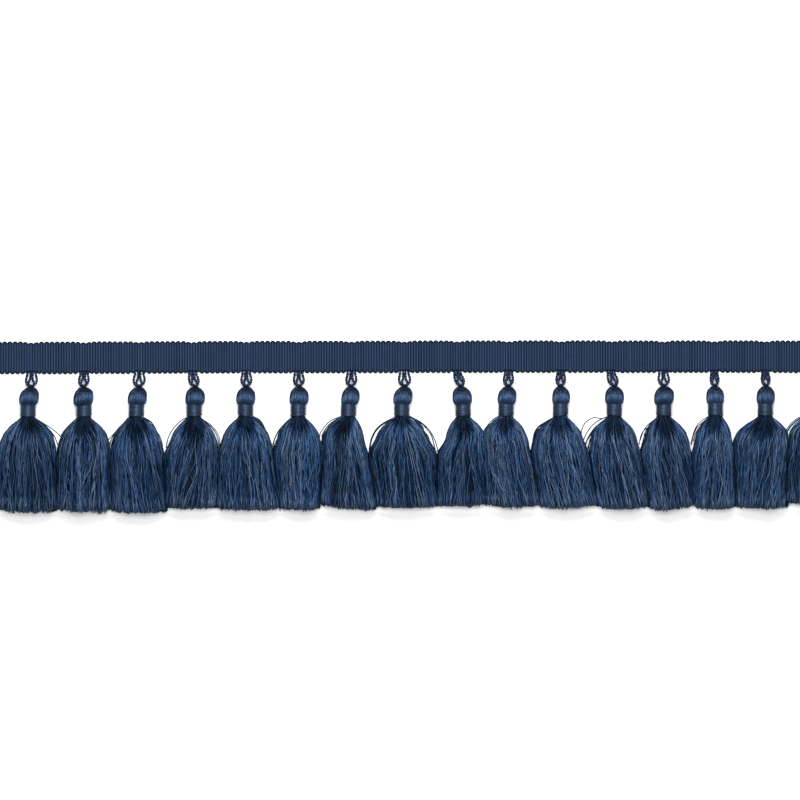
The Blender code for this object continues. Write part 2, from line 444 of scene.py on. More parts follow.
class Bundle:
    """Closed tubes and lofts gathered into one mesh, with a tone and a tint at each point."""

    def __init__(self) -> None:
        """Starts with nothing."""
        self.points: list[Array] = []
        self.tones: list[Array] = []
        self.tints: list[Array] = []
        self.faces: list[Array] = []
        self.count = 0

    def _add(self, points: Array, tones: Array, tints: Array, faces: Sequence[Array]) -> None:
        """Adds points and the faces between them.

        Args:
            points: One a row.
            tones: One for each point.
            tints: One for each point.
            faces: Blocks of faces, each with one number of corners, counted from these points.
        """
        self.points.append(points)
        self.tones.append(tones)
        self.tints.append(tints)
        self.faces += [block + self.count for block in faces]
        self.count += len(points)

    def tubes(self, lines: Array, radius: Numbers, sides: int, tone: Numbers, tint: Numbers) -> None:
        """Adds a closed round tube along each line.

        Args:
            lines: Points, as line, point, coordinate.
            radius: One number, or one for each line, or one for each point.
            sides: How many faces go round a tube.
            tone: How light the thread is, in the same forms.
            tint: How warm the thread is, in the same forms.
        """
        number, stops, _ = lines.shape
        first, second = cross_frames(lines)
        turn = (np.arange(sides) / sides * 2 * math.pi)[None, None, :, None]
        out = np.cos(turn) * first[:, :, None] + np.sin(turn) * second[:, :, None]
        points = lines[:, :, None] + out * per_point(radius, number, stops)[:, :, None, None]
        index = np.arange(number * stops * sides).reshape(number, stops, sides)
        after = np.roll(index, -1, axis=2)
        walls = np.stack([index[:, :-1], after[:, :-1], after[:, 1:], index[:, 1:]], axis=-1)
        tones, tints = (np.repeat(per_point(given, number, stops), sides) for given in (tone, tint))
        faces = [walls.reshape(-1, 4), index[:, 0, ::-1], index[:, -1]]
        self._add(points.reshape(-1, 3), tones, tints, faces)

    def loft(self, rings: Array, tone: Numbers, tint: float) -> None:
        """Adds a closed body through rings that go round it.

        Args:
            rings: Points, as ring, point, coordinate, the rings turning to the right as they go on.
            tone: How light it is: one number, or one for each point.
            tint: How warm it is.
        """
        number, around, _ = rings.shape
        index = np.arange(number * around).reshape(number, around)
        after = np.roll(index, -1, axis=1)
        walls = np.stack([index[:-1], after[:-1], after[1:], index[1:]], axis=-1)
        tones = np.broadcast_to(tone, (number, around)).ravel()
        faces = [walls.reshape(-1, 4), index[:1, ::-1], index[-1:]]
        self._add(rings.reshape(-1, 3), tones, np.full(number * around, tint), faces)

    def piece(self, name: str, material: Material, slot: Slot, node: str) -> Piece:
        """Makes the mesh and puts it in the frame.

        Args:
            name: The piece's name.
            material: What it wears.
            slot: Not used.
            node: The fixed solid that it stands for.

        Returns:
            The piece.
        """
        mesh = bpy.data.meshes.new(name)
        corners = np.concatenate([block.ravel() for block in self.faces])
        sizes = np.concatenate([np.full(len(block), block.shape[1]) for block in self.faces])
        starts = np.concatenate([[0], np.cumsum(sizes)[:-1]])
        mesh.vertices.add(self.count)
        mesh.vertices.foreach_set("co", np.concatenate(self.points).astype(np.float32).ravel())
        mesh.loops.add(len(corners))
        mesh.loops.foreach_set("vertex_index", corners.astype(np.int32))
        mesh.polygons.add(len(sizes))
        mesh.polygons.foreach_set("loop_start", starts.astype(np.int32))
        mesh.update(calc_edges=True)
        for label, numbers in (("tone", self.tones), ("tint", self.tints)):
            held = mesh.attributes.new(label, "FLOAT", "POINT")
            held.data.foreach_set("value", np.concatenate(numbers).astype(np.float32))
        mesh.shade_smooth()
        mesh.validate()
        mesh.materials.append(material)
        made = bpy.data.objects.new(name, mesh)
        bpy.context.scene.collection.objects.link(made)
        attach(made, BODY)
        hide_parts(node)
        return made


class Solid:
    """The faces of one fixed solid, to be cut by planes."""

    def __init__(self, node: str) -> None:
        """Reads the solid.

        Args:
            node: Its name in the frame.
        """
        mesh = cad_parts[node].data
        mesh.calc_loop_triangles()
        corners = np.array([vertex.co for vertex in mesh.vertices])
        self.triangles = corners[np.array([face.vertices for face in mesh.loop_triangles])]

    def cut(self, axis: int, at: float) -> Array:
        """Where the faces' edges cross a plane.

        Args:
            axis: 0 for a plane across X, 1 for one across Y.
            at: The plane's place on that axis.

        Returns:
            The crossing points, one a row.
        """
        start = self.triangles
        end = np.roll(start, -1, axis=1)
        before = start[..., axis] - at
        past = end[..., axis] - at
        crossing = before * past < 0
        share = before[crossing] / (before[crossing] - past[crossing])
        return start[crossing] + (end - start)[crossing] * share[:, None]


# ------------------------------------------------------------------------------------------ sub-assemblies


@dataclass(frozen=True)
class Sweep:
    """Threads of a skirt that fall aside: from where to where in half widths, then how far in millimetres."""

    start: float
    end: float
    drift: float


@dataclass(frozen=True)
class Stray:
    """Loose threads that lie together, with stops in millimetres to +X of the waist and below the binding."""

    stops: tuple[tuple[float, float], ...]
    threads: int = 1


@dataclass(frozen=True)
class Habit:
    """How one tassel differs from the next; lengths in millimetres.

    The loop has an outer width and a lean to +X at the tape. The ball's top is set off to +X, its girth is
    a share of its solid's, and it has a tilt. The parting under the binding, where painted shade darkens the
    threads, has an offset to +X, in degrees round the skirt, and a length. The skirt's left and right
    shoulders are drawn in by so much.
    """

    loop_width: float
    loop_lean: float
    apex: float
    girth: float
    tilt: float
    parting: float
    parting_length: float
    shoulders: tuple[float, float]
    sweeps: tuple[Sweep, ...] = ()
    strays: tuple[Stray, ...] = ()


# Each habit starts with its loop's width and lean, its ball's apex, girth and tilt, its parting's offset and
# length, and its shoulders. Its sweeps and its strays come after them.
HABITS = (
    Habit(
        6.9, 0.1, 1.0, 1.06, 0.0, 8, 7.5, (0.0, 0.0),
        (Sweep(-1.0, -0.4, -4.0), Sweep(0.2, 1.0, 8.0)),
        (
            Stray(((7.0, 3.0), (12.0, 6.2), (15.2, 8.8), (17.4, 11.2))),
            Stray(((8.0, 4.0), (12.0, 8.0), (14.2, 11.5), (15.4, 15.0))),
            Stray(((8.5, 5.0), (11.6, 9.8), (13.2, 13.0), (14.6, 17.0))),
        ),
    ),
    Habit(
        6.2, 0.2, 0.1, 1.09, 0.26, 6, 9.0, (0.0, 0.4),
        (Sweep(-1.0, -0.5, -3.0), Sweep(0.5, 1.0, 2.5)),
        (Stray(((8.6, 6.5), (11.2, 9.6), (12.8, 14.0), (13.2, 18.5))),),
    ),
    Habit(
        7.0, 0.0, 0.75, 1.02, 0.0, 0, 10.0, (0.9, 0.9),
        (Sweep(-0.9, 0.2, 5.0), Sweep(0.0, 1.0, 9.0)),
        (
            Stray(((-4.4, 1.0), (-8.6, 5.8), (-12.2, 9.6), (-14.8, 12.6))),
            Stray(((-7.6, 6.2), (-11.4, 9.4), (-13.2, 12.6), (-14.2, 17.0))),
            Stray(((-9.0, 7.0), (-11.6, 11.0), (-12.9, 14.5), (-13.4, 18.5))),
            Stray(((2.6, 0.2), (5.8, 1.7), (8.0, 3.3), (10.2, 6.8), (11.3, 10.7)), 9),
        ),
    ),
    Habit(
        6.1, -1.4, -0.2, 1.06, 0.0, 4, 11.0, (0.0, 0.0),
        (Sweep(-1.0, 0.5, -8.0), Sweep(0.5, 1.0, -2.5)),
        (
            Stray(((-7.0, 2.6), (-11.2, 7.0), (-13.8, 12.2), (-14.6, 16.6))),
            Stray(((4.2, 1.6), (8.4, 4.4), (12.2, 9.0), (13.4, 14.2), (12.4, 18.8))),
            Stray(((4.6, 2.2), (8.6, 5.4), (11.6, 9.6), (12.8, 14.6), (12.6, 18.0))),
        ),
    ),
    Habit(
        6.4, -0.2, 0.3, 1.03, 0.0, 0, 7.0, (0.2, 0.2),
        (Sweep(-1.0, -0.4, -2.0), Sweep(0.3, 1.0, 2.0)),
        (
            Stray(((2.6, -0.2), (5.6, 0.9), (7.8, 2.4), (9.7, 5.7), (11.4, 10.6)), 12),
            Stray(((8.4, 4.6), (11.2, 9.6), (13.2, 14.2), (13.6, 18.0))),
        ),
    ),
    Habit(
        6.4, -0.3, -0.2, 1.03, 0.0, 4, 7.5, (0.8, 0.8),
        (Sweep(-1.0, -0.5, -2.5), Sweep(-0.5, 0.2, -1.5), Sweep(0.5, 1.0, 1.5)),
        (
            Stray(((-6.2, 3.2), (-10.0, 7.4), (-12.2, 11.8), (-13.2, 16.2))),
            Stray(((-8.4, 6.4), (-11.6, 10.2), (-13.2, 14.6))),
            Stray(((4.8, 2.6), (7.6, 5.6), (9.8, 8.6), (11.0, 10.8))),
        ),
    ),
    Habit(
        6.4, 0.0, 0.15, 0.98, 0.0, -14, 9.0, (0.1, 0.7),
        (Sweep(-1.0, -0.1, -4.5), Sweep(0.3, 1.0, 6.0)),
        (
            Stray(((-2.6, 0.2), (-6.4, 2.0), (-9.5, 4.3), (-11.7, 7.3), (-12.9, 10.4)), 10),
            Stray(((-4.6, 0.6), (-9.0, 2.4), (-12.0, 5.2), (-14.6, 9.0), (-15.2, 11.6))),
            Stray(((-5.4, 1.6), (-9.4, 4.2), (-12.0, 7.0), (-14.0, 10.8))),
            Stray(((-12.4, 9.2), (-14.0, 14.0), (-15.6, 19.0), (-16.2, 23.0))),
            Stray(((-11.6, 9.0), (-13.2, 15.0), (-15.0, 20.5))),
        ),
    ),
    Habit(
        7.0, -0.3, 0.85, 1.03, 0.0, 0, 4.0, (0.9, 0.2),
        (Sweep(-1.0, -0.3, -3.5), Sweep(0.1, 1.0, 8.0)),
        (
            Stray(((2.4, -0.2), (5.8, 1.4), (8.9, 4.0), (11.2, 7.0)), 9),
            Stray(((-8.6, 3.2), (-12.8, 6.4), (-15.8, 11.6), (-17.0, 17.4))),
            Stray(((-9.8, 4.6), (-13.4, 8.0), (-15.8, 13.0), (-16.6, 17.6))),
            Stray(((5.0, 0.9), (9.4, 3.0), (13.4, 6.4), (16.0, 10.2), (18.2, 15.6), (19.0, 22.0))),
            Stray(((5.8, 1.6), (10.0, 3.9), (13.4, 7.4), (15.8, 11.4), (17.6, 19.0))),
            Stray(((12.4, 9.0), (14.4, 13.0), (15.8, 16.6), (16.8, 20.0))),
        ),
    ),
    Habit(5.7, -2.0, -0.5, 1.05, 0.0, -4, 8.0, (0.7, 0.4), (Sweep(-0.9, 0.1, -3.0), Sweep(0.2, 1.0, 7.0))),
    Habit(
        6.0, 0.1, 0.55, 1.01, 0.0, 0, 6.0, (0.0, 0.2),
        (Sweep(-1.0, 1.0, 4.5), Sweep(-0.3, 0.7, 2.0)),
        (Stray(((-2.6, 0.2), (-6.1, 1.6), (-8.8, 4.0), (-11.0, 7.0)), 9),),
    ),
    Habit(
        5.7, 0.0, -0.3, 0.96, 0.0, 5, 6.5, (0.9, 0.0),
        (Sweep(-1.0, 1.0, 3.5),),
        (
            Stray(((-8.0, 3.4), (-11.8, 6.0), (-13.8, 9.6), (-14.6, 14.6))),
            Stray(((-9.4, 4.8), (-12.2, 7.4), (-13.8, 11.0), (-14.4, 15.4))),
            Stray(((2.2, 0.2), (4.8, 1.9), (7.1, 4.6), (9.0, 7.4)), 8),
        ),
    ),
    Habit(
        6.0, -1.75, -0.1, 1.02, 0.0, 2, 8.5, (0.9, 0.6),
        (Sweep(-0.3, 1.0, 3.5),),
        (
            Stray(((-6.4, 1.6), (-10.8, 1.2), (-14.8, 3.6), (-16.8, 7.2), (-17.2, 10.0))),
            Stray(((-7.6, 2.4), (-11.2, 5.0), (-14.2, 9.0), (-16.2, 13.4))),
            Stray(((-8.6, 5.0), (-12.0, 8.8), (-14.2, 13.0), (-15.2, 17.6))),
            Stray(((-11.0, 8.6), (-13.6, 12.2), (-16.0, 16.0))),
            Stray(((-11.6, 11.0), (-13.2, 15.4), (-14.4, 20.0))),
        ),
    ),
    Habit(
        6.6, -0.5, 0.1, 1.08, 0.14, 0, 8.5, (0.9, 0.5),
        (Sweep(-1.0, -0.2, 2.5), Sweep(-0.1, 1.0, 10.0)),
        (
            Stray(((-7.6, 6.0), (-10.2, 7.6), (-12.0, 10.8), (-12.8, 15.2))),
            Stray(((-8.4, 5.0), (-10.8, 8.6), (-12.4, 13.2))),
            Stray(((8.6, 5.8), (11.4, 9.4), (13.2, 14.2))),
            Stray(((9.4, 6.8), (12.2, 11.6), (13.4, 16.0))),
        ),
    ),
    Habit(
        5.3, -0.2, -0.25, 0.96, 0.0, -3, 6.5, (1.1, 0.5),
        (Sweep(-0.9, 0.3, -6.5),),
        (
            Stray(((-4.6, 1.2), (-8.6, 4.0), (-11.2, 8.6), (-12.8, 14.8))),
            Stray(((-5.8, 3.0), (-9.4, 6.2), (-11.6, 10.8), (-12.6, 15.6))),
            Stray(((-6.8, 4.6), (-10.0, 8.8), (-11.6, 13.4))),
        ),
    ),
    Habit(5.3, -0.35, 0.1, 0.99, 0.0, 0, 9.0, (-0.3, 0.0), (Sweep(-1.0, 1.0, -6.0),)),
    Habit(
        6.0, 0.2, 0.0, 1.02, 0.0, 0, 8.0, (0.2, 0.0),
        (Sweep(-1.0, 0.2, -2.5),),
        (Stray(((-2.0, -0.8), (-6.8, 0.3), (-11.0, 1.8), (-14.6, 4.8), (-16.8, 7.9)), 16),),
    ),
)


class Place:
    """Where one tassel's pieces are, read from its solids."""

    HEAD_RISE = 0.15 * MM
    HEAD_ASIDE = 0.2 * MM
    BINDING_RISE = 0.85 * MM
    BINDING_TRIM = 1.15 * MM
    BINDING_RADIUS = 4.02 * MM

    def __init__(self, number: int) -> None:
        """Reads the solids.

        Args:
            number: The tassel's number, from 1.
        """
        self.number = number
        self.tag = f"{number:02d}"
        self.habit = HABITS[number - 1]
        self.solid = Solid(f"hank_{self.tag}")
        low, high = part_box(f"binding_{self.tag}")
        self.waist = Vector(((low.x + high.x) / 2, (low.y + high.y) / 2, (low.z + high.z) / 2))
        self.waist_top = high.y + self.BINDING_RISE
        self.waist_foot = low.y + self.BINDING_TRIM
        head_low, head_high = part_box(f"hank_{self.tag}")
        self.head_top = head_high.y + self.HEAD_RISE
        self.hem = head_low.y
        middle = (self.waist_top + self.head_top) / 2
        across = self.solid.cut(1, middle)[:, 0]
        self.ball_x = float(across.min() + across.max()) / 2 + self.HEAD_ASIDE
        self.ball_radius = float(np.ptp(across)) / 2


@dataclass
class Part:
    """A piece of one tassel: each kind of part holds its sizes and adds its threads to the bundle."""

    SOLID = ""
    LOOK = ""
    SLOT = Slot.HANK
    FINISH = HANK_FINISH
    SEED = 0

    place: Place

    def __post_init__(self) -> None:
        """Starts an empty bundle and the part's own random numbers."""
        self.bundle = Bundle()
        self.draw = np.random.default_rng(self.SEED + self.place.number)

    def fill(self) -> None:
        """Adds the threads to the bundle."""
        raise NotImplementedError

    def build(self, material: Material) -> Piece:
        """Makes the piece.

        Args:
            material: What it wears.

        Returns:
            The piece.
        """
        self.fill()
        solid = f"{self.SOLID}_{self.place.tag}"
        return self.bundle.piece(f"{solid}_{self.LOOK}", material, self.SLOT, solid)


@dataclass
class HeadingTape:
    """The woven heading tape: ribs across it, and the weft's turns as bumps along both edges.

    Each loop draws the upper edge in a little and holds the lower edge flat for a while.
    """

    rib_pitch: float = 1.367 * MM
    groove: float = 0.42 * MM
    rib_shape: float = 1.1
    bump: float = 1.0 * MM
    bump_shape: float = 0.55
    valley: float = 7.58 * MM
    bow: float = 0.3 * MM
    wander_mm: float = 0.05
    wander_stops: int = 60
    held_flat: float = 4.4 * MM
    calmed: float = 0.35
    drawn_in: float = 0.22 * MM
    columns_per_rib: int = 5
    edge_points: int = 5
    face_shares: tuple[float, ...] = (0.05, 0.5, 0.95)
    back_shares: tuple[float, ...] = (0.3, 0.7)
    # Painted shade in the grooves and on the rounded edges, and painted light on the rib crests.
    painted_groove_shade: float = 0.14
    painted_rib_light: float = 1.05
    uneven_tone: float = 0.07
    painted_edge_shade: float = 0.3
    seed: int = 11

    def _near_loops(self, x: Array, loops: Array) -> Array:
        """How near each place is to a loop, from 0 to 1.

        Args:
            x: Places along the tape.
            loops: Where the loops are.

        Returns:
            One number for each place.
        """
        gap = np.abs(x[:, None] - loops[None]).min(axis=1) / self.held_flat
        return np.clip(1.6 - 1.6 * gap, 0, 1)

    def _section(self, top: Array, foot: Array, half: Array, middle: float) -> tuple[list[Any], list[float]]:
        """The tape's section: its upper edge, its face, its lower edge and its back.

        Args:
            top: Where the upper edge is along Y, at each place along X.
            foot: Where the lower edge is.
            half: Half the thickness.
            middle: How high the tape's middle is.

        Returns:
            The section's points as pairs of Y and Z, and how light each of them is.
        """
        turn = np.linspace(-math.pi / 2, math.pi / 2, self.edge_points)
        inner_top, inner_foot = top - half, foot + half
        points, tones = [], []
        for side, start, end, shares in (
            (1, inner_top, inner_foot, self.face_shares),
            (-1, inner_foot, inner_top, self.back_shares),
        ):
            points += [(start + side * half * np.cos(a), middle + side * half * np.sin(a)) for a in turn]
            points += [(start + (end - start) * share, middle + side * half) for share in shares]
            tones += [self.painted_edge_shade] * self.edge_points + [1.0] * len(shares)
        return points, tones

    def build(self, loops: Array) -> Piece:
        """Makes the tape.

        Args:
            loops: Where the loops leave it, along X.

        Returns:
            The piece.
        """
        draw = np.random.default_rng(self.seed)
        low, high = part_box(TAPE_NODE)
        thick = high.z - low.z
        ribs = int((high.x - low.x) / self.rib_pitch)
        step = self.rib_pitch / self.columns_per_rib
        x = (np.arange(ribs * self.columns_per_rib + 1) - ribs * self.columns_per_rib / 2) * step
        phase = x / self.rib_pitch
        crest = np.abs(np.sin(math.pi * phase)) ** self.rib_shape
        near = self._near_loops(x, loops)
        weft = math.pi * phase / 2 + math.pi / 4
        knots = np.linspace(x[0], x[-1], self.wander_stops)
        wander = np.interp(x, knots, draw.normal(0, self.wander_mm, self.wander_stops) * MM)
        wander += self.bow * np.clip(1 - (x / x[-1]) ** 2 * 1.3, 0, 1)
        bumps = self.bump * np.abs(np.sin(weft)) ** self.bump_shape * (1 - self.calmed * near)
        top = self.valley + bumps - self.drawn_in * near + wander
        foot = -self.valley - self.bump * np.abs(np.cos(weft)) ** self.bump_shape * (1 - near) + wander
        section, edge = self._section(top, foot, thick / 2 - self.groove * (1 - crest), thick / 2)
        rings = np.stack([np.stack([x, *pair], axis=1) for pair in section], axis=1)
        rib = np.floor(phase).astype(int)
        uneven = draw.normal(1.0, self.uneven_tone, ribs + 2)[rib - rib.min()]
        # Painted light on the rib crests and painted shade in the grooves.
        tone = (self.painted_groove_shade + self.painted_rib_light * crest**1.6) * uneven
        tape = Bundle()
        tape.loft(rings[::-1], tone[::-1, None] * np.array(edge), 0.4)
        made = tape.piece("heading_tape_ribbed", TAPE_FINISH.material(), Slot.TAPE, TAPE_NODE)
        return made


@dataclass(frozen=True)
class Bend:
    """A point on a loop's turn.

    It is so many half widths across from the loop's middle, and so many millimetres below the tape's edge and
    above the surface. The second turn passes there higher by its lift, in millimetres.
    """

    across: float
    below: float
    height: float
    lift: float


@dataclass
class CordLoop(Part):
    """A two-ply cord that leaves the tape twice and carries the tassel."""

    SOLID = "loop"
    LOOK = "twisted"
    SLOT = Slot.LOOP
    FINISH = LOOP_FINISH
    SEED = 300

    ply_radius: float = 0.415 * MM
    ply_offset: float = 0.35 * MM
    ply_tones: tuple[float, float] = (0.7, 1.25)
    twist_pitch: float = 3.4 * MM
    stops_per_turn: int = 9
    sides: int = 5
    inset: float = 0.8
    sag_mm: float = 0.5
    eye: float = 2.6 * MM
    turn: tuple[Bend, ...] = (
        Bend(-0.74, -0.9, 0.80, 0.0),
        Bend(-0.80, 0.5, 0.9, 0.1),
        Bend(-0.97, 2.0, 1.6, 0.3),
        Bend(-1.00, 3.4, 2.6, 0.6),
        Bend(-0.84, 4.7, 3.4, 0.9),
        Bend(-0.50, 5.7, 4.1, 1.2),
        Bend(-0.02, 6.15, 4.4, 1.4),
        Bend(0.38, 5.7, 4.2, 1.4),
        Bend(0.52, 4.9, 3.8, 1.3),
        Bend(0.46, 4.1, 3.3, 1.2),
        Bend(0.34, 3.2, 2.7, 1.2),
        Bend(0.24, 2.3, 2.1, 1.1),
        Bend(0.20, 1.3, 1.5, 1.0),
        Bend(0.20, 0.3, 0.9, 0.8),
        Bend(0.20, -0.9, 0.8, 0.3),
    )

    def _turn(self, side: int) -> Array:
        """One turn's route.

        Args:
            side: 1 for the first turn, -1 for the second, which mirrors it and passes above.

        Returns:
            The route's stops, one a row.
        """
        habit = self.place.habit
        width, lean = habit.loop_width * MM, habit.loop_lean * MM
        tape_low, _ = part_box(TAPE_NODE)
        half = width / 2 - self.inset * (self.ply_radius + self.ply_offset)
        foot = max(bend.below for bend in self.turn)
        stops = []
        for bend in self.turn:
            fallen = max(bend.below, 0.0)
            leaned = lean * (1 - fallen / foot)
            height = bend.height + (bend.lift if side < 0 else 0.0)
            sag = self.sag_mm * fallen / foot if side > 0 else 0.0
            reach = max(half, self.eye) if bend.across > 0 else half
            x = self.place.ball_x + habit.apex * MM + leaned + side * bend.across * reach
            stops.append((x, tape_low.y - (bend.below + sag) * MM, height * MM))
        return np.array(stops)

    def fill(self) -> None:
        """Adds both turns, each of two plies."""
        for side in (1, -1):
            stops = self._turn(side)
            length = float(np.linalg.norm(np.diff(stops, axis=0), axis=1).sum())
            count = int(length / self.twist_pitch * self.stops_per_turn)
            route = smooth_route(stops, count)[None]
            first, second = cross_frames(route)
            run = np.linspace(0, length, count)
            start = self.draw.uniform(0, 2 * math.pi)
            for ply, tone in enumerate(self.ply_tones):
                angle = (start + ply * math.pi + run / self.twist_pitch * 2 * math.pi)[None, :, None]
                line = route + self.ply_offset * (np.cos(angle) * first + np.sin(angle) * second)
                line[..., 2] = np.maximum(line[..., 2], self.ply_radius)
                self.bundle.tubes(line, self.ply_radius, self.sides, tone, self.draw.uniform(0, 1))


@dataclass(frozen=True)
class Turn:
    """A ring of the ball's outline, in millimetres: how far below its cap, and its radius."""

    below: float
    radius: float


class BallForm:
    """The outline and the axis of one ball, at stops from its cap to the waist."""

    CLEARANCE = 0.1 * MM
    APEX_REACH = 5.5 * MM

    def __init__(self, place: Place, outline: Sequence[Turn], stops: int, sunk: float) -> None:
        """Works them out.

        Args:
            place: The tassel's place.
            outline: The ball's rings, from its cap down.
            stops: How many stops there are.
            sunk: How far the threads' middles lie under the outline.
        """
        habit = place.habit
        rings = np.array([(turn.below, turn.radius) for turn in outline]) * MM
        curve = smooth_route(rings, stops)
        self.below, self.radius = curve[:, 0], curve[:, 1] - sunk
        girth = 1 + (habit.girth - 1) * np.clip(self.radius / place.ball_radius, 0, 1) ** 0.5
        self.reach = self.radius * girth
        height = max(place.waist.z, place.ball_radius * habit.girth + self.CLEARANCE)
        toward = np.clip(self.below / rings[-1, 0], 0, 1)
        capped = 1 - np.clip(self.below / self.APEX_REACH, 0, 1)
        self.x = place.ball_x + (place.waist.x - place.ball_x) * toward**3 + habit.apex * MM * capped**1.4
        self.y = place.head_top - self.below
        self.z = place.waist.z + (height - place.waist.z) * np.sin(math.pi * toward)
        self.tilt = habit.tilt * np.sin(math.pi * toward)

    def at(self, angle: Array, reach: Array) -> Array:
        """Points round the axis.

        Args:
            angle: How far round, in radians, as line, stop.
            reach: How far from the axis, in the same form.

        Returns:
            The points, as line, stop, coordinate.
        """
        across = reach * np.cos(angle)
        z = self.z + reach * np.sin(angle)
        return np.stack([self.x + across, self.y + across * self.tilt, z], axis=-1)


@dataclass(frozen=True)
class PaintedSheen:
    """Painted light and shade down a ball's drawn yarn, shaded at its cap and its foot; lengths in
    millimetres.

    A painted highlight band lies so far below the ball's top at its crown, and sinks by so much at its sides.
    It fades over one reach above and another below. The slow rises of painted light under it have a size, a
    start and a reach.
    """

    painted_cap_shade: float = 0.24
    painted_gleam: float = 0.78
    band: float = 4.45
    sinking: float = 4.0
    reach_above: float = 1.1
    reach_below: float = 1.5
    rises: tuple[tuple[float, float, float], ...] = ((0.42, 3, 4), (0.22, 6.2, 2))
    foot: float = 10.0
    foot_reach: float = 1.1
    painted_foot_shade: float = 0.7

    def at(self, below: Array, angle: Array) -> Array:
        """How light each point is.

        Args:
            below: How far below the ball's top, in millimetres.
            angle: How far round it, in radians, a quarter turn being its crown.

        Returns:
            One number for each point.
        """
        band = self.band + self.sinking * (1 - np.sin(angle))
        painted_gleam = bell(below - band, np.where(below < band, self.reach_above, self.reach_below))
        foot = np.clip((self.foot - below) / self.foot_reach, self.painted_foot_shade, 1)
        lit = sum(size * ramp(below, start, reach) for size, start, reach in self.rises)
        return (self.painted_cap_shade + lit + self.painted_gleam * painted_gleam) * foot


@dataclass
class Ball(Part):
    """The head: threads drawn over a mould, from a small gathered knot to the waist."""

    SOLID = "hank"
    LOOK = "ball"
    FINISH = BALL_FINISH
    SEED = 500

    threads: int = 64
    stops: int = 17
    thread_radius: float = 0.27 * MM
    sunk: float = 0.7
    sides: int = 3
    uneven_gap: float = 0.2
    uneven_turn: float = 0.03
    uneven_rise: float = 0.02 * MM
    uneven_width: tuple[float, float] = (0.9, 1.1)
    uneven_tone: float = 0.05
    speckle: float = 0.03
    full_from: float = 2.2 * MM
    thinnest: float = 0.45
    core_under: float = 0.22 * MM
    core_least: float = 0.2 * MM
    core_sides: int = 20
    # The core under the threads takes the painted sheen a little darker, as painted shade between them.
    painted_core_shade: float = 0.75
    painted_sheen: PaintedSheen = PaintedSheen()
    outline: tuple[Turn, ...] = (
        Turn(-0.5, 0.5),
        Turn(0.0, 1.4),
        Turn(0.36, 2.25),
        Turn(0.9, 2.95),
        Turn(1.9, 3.9),
        Turn(3.0, 4.5),
        Turn(4.4, 4.78),
        Turn(6.0, 4.86),
        Turn(7.1, 4.80),
        Turn(8.0, 4.60),
        Turn(8.7, 4.20),
        Turn(9.3, 3.6),
        Turn(10.4, 3.0),
    )

    def fill(self) -> None:
        """Adds the drawn threads and the core under them."""
        n, draw = self.threads, self.draw
        form = BallForm(self.place, self.outline, self.stops, self.thread_radius * self.sunk)
        start = (np.arange(n) + draw.uniform(-self.uneven_gap, self.uneven_gap, n)) / n * 2 * math.pi
        swirl = draw.normal(0, self.uneven_turn, n)[:, None] * np.linspace(-1, 1, self.stops)
        along = np.linspace(0, 2.2 * math.pi, self.stops)
        sway = draw.normal(0, self.uneven_turn, (n, 1)) * np.sin(along + draw.uniform(0, 6.3, (n, 1)))
        angle = start[:, None] + swirl + sway
        lines = form.at(angle, form.reach + draw.normal(0, self.uneven_rise, (n, 1)))
        thin = np.clip(form.radius / self.full_from, self.thinnest, 1.0) * self.thread_radius
        thin = thin * draw.uniform(*self.uneven_width, (n, 1))
        tone = draw.normal(1.0, self.uneven_tone, (n, 1))
        tone = tone * (1 + draw.normal(0, self.speckle, (n, self.stops)))
        # Painted sheen: a painted highlight band, with painted shade at the cap and at the foot.
        tone = tone * self.painted_sheen.at(form.below / MM, angle)
        self.bundle.tubes(lines, thin, self.sides, tone, draw.uniform(0, 1, n))
        turn = np.linspace(0, 2 * math.pi, self.core_sides, endpoint=False)[:, None]
        core = form.at(turn, np.maximum(form.reach - self.core_under, self.core_least))
        painted_core_shade = self.painted_core_shade * self.painted_sheen.at(form.below / MM, turn)
        self.bundle.loft(core.swapaxes(0, 1), painted_core_shade.T, 0.5)


@dataclass
class Binding(Part):
    """Fine thread wound close round the waist."""

    SOLID = "binding"
    LOOK = "wound"
    SLOT = Slot.BINDING
    FINISH = BINDING_FINISH
    SEED = 700

    thread_radius: float = 0.2 * MM
    pitch: float = 0.37 * MM
    flare: float = 0.16 * MM
    bulge: float = 0.05 * MM
    slip: float = 0.04 * MM
    slant: float = 0.13
    uneven_tone: float = 0.1
    # Painted shade at the sides of the wraps and painted light along their top.
    painted_side_shade: float = 0.45
    painted_crown_light: float = 0.75
    foot_shade: float = 0.3
    stops_per_turn: int = 18
    sides: int = 4

    @staticmethod
    def _drifting(values: Array, run: Array) -> Array:
        """Numbers that go evenly from one whole turn's value to the next.

        Args:
            values: One for each whole turn.
            run: How many turns have passed at each point.

        Returns:
            One number for each point.
        """
        whole = np.floor(run).astype(int)
        part = run - whole
        return values[whole] * (1 - part) + values[whole + 1] * part

    def fill(self) -> None:
        """Adds the thread, wound from the top."""
        place, draw = self.place, self.draw
        length = place.waist_top - place.waist_foot
        turns = length / self.pitch
        run = np.linspace(0, turns, int(turns * self.stops_per_turn))
        knots = int(turns) + 2
        bulge = self._drifting(draw.normal(0, self.bulge, knots), run)
        slip = self._drifting(draw.normal(0, self.slip, knots), run)
        reach = place.BINDING_RADIUS - self.thread_radius + bulge + self.flare * (run / turns) ** 2
        angle = run * 2 * math.pi + draw.uniform(0, 6.3)
        slant = draw.normal(0, self.slant) * reach * np.cos(angle) * run / turns
        line = np.stack(
            [
                place.waist.x + reach * np.cos(angle),
                place.waist_top - run / turns * length + slip + slant,
                place.waist.z + reach * np.sin(angle),
            ],
            axis=1,
        )
        # Painted light along the top of the wraps, painted shade at their sides, and painted shade towards
        # the foot.
        lit = np.clip(np.sin(angle + 0.2), 0, 1) ** 1.5
        tone = 1 + self.uneven_tone * self._drifting(draw.normal(0, 1, knots), run)
        tone = tone * (self.painted_side_shade + self.painted_crown_light * lit) * (1 - self.foot_shade * (run / turns) ** 3)
        self.bundle.tubes(line[None], self.thread_radius, self.sides, tone[None], 0.5)


